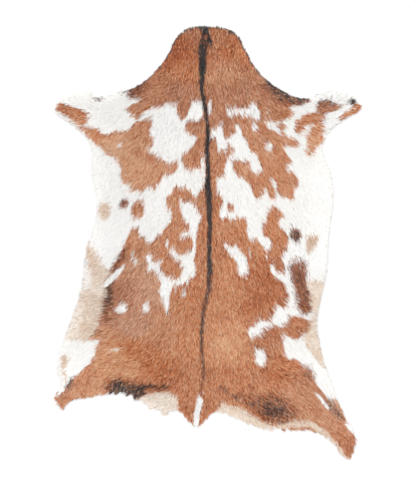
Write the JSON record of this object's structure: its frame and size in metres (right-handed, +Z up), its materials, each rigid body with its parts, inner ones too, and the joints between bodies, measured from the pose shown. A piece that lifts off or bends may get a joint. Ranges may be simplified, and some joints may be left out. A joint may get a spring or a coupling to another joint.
{
  "type": "goatskin hide rug",
  "caption": "Tanned goatskin with its hair on, one pied brown and white hide with neck, leg flaps and tail point, lying flat as a rug or throw.",
  "frame": {"origin": "under the middle of the hide's bounding box, on the surface it lies on", "axes": "+X across the hide, to the right with the neck at the top and the hair side up, +Y along the back towards the neck, +Z up out of the hair side"},
  "size_m": [0.6212, 0.8718, 0.0087],
  "materials": {
    "brown_hair": "soft chestnut goat hair, combed flat from neck to tail, with fine pale and dark hairs",
    "white_hair": "soft white goat hair with a faint silky sheen",
    "dark_hair": "near black and dark brown goat hair",
    "cream_hair": "thin cream and tan belly hair",
    "suede": "undyed tanned skin, smooth under the hair and napped suede on the flesh side"
  },
  "bodies": {
    "root": {"goatskin": "brown_hair"}
  },
  "joints": []
}
